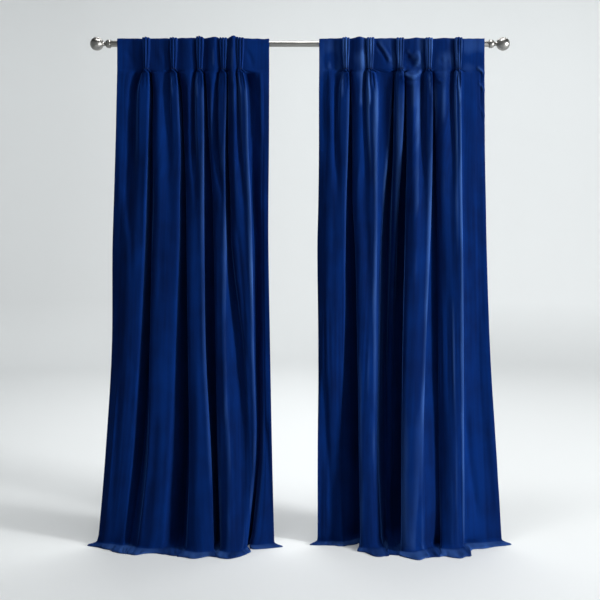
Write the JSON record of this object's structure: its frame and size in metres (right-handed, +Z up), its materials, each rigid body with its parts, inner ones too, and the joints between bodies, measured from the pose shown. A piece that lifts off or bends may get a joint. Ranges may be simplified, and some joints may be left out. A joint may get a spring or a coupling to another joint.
{
  "type": "velvet curtains and rod",
  "caption": "Pair of full-length velvet curtains with triple pinch pleats, hanging by back tabs on a plain round rod with ball finials, hems turned out on the floor.",
  "frame": {"origin": "the middle of the rod, on its axis", "axes": "+X along the rod to the right as seen from the room, -Y towards the room, +Z up; the floor is at Z = -2.075 m"},
  "size_m": [1.739, 0.2666, 2.103],
  "materials": {
    "velvet": "short dense pile, matt face on and bright at a grazing angle",
    "tab_cloth": "plain woven strip, matt",
    "rod_metal": "brushed nickel, satin",
    "finial_metal": "brushed nickel, satin"
  },
  "bodies": {
    "root": {"rod": "rod_metal", "finial_left": "finial_metal", "finial_right": "finial_metal", "curtain_left": "velvet", "curtain_right": "velvet", "tab_left_1": "tab_cloth", "tab_left_2": "tab_cloth", "tab_left_3": "tab_cloth", "tab_left_4": "tab_cloth", "tab_left_5": "tab_cloth", "tab_left_6": "tab_cloth", "tab_left_7": "tab_cloth", "tab_right_1": "tab_cloth", "tab_right_2": "tab_cloth", "tab_right_3": "tab_cloth", "tab_right_4": "tab_cloth", "tab_right_5": "tab_cloth", "tab_right_6": "tab_cloth", "tab_right_7": "tab_cloth"}
  },
  "joints": []
}
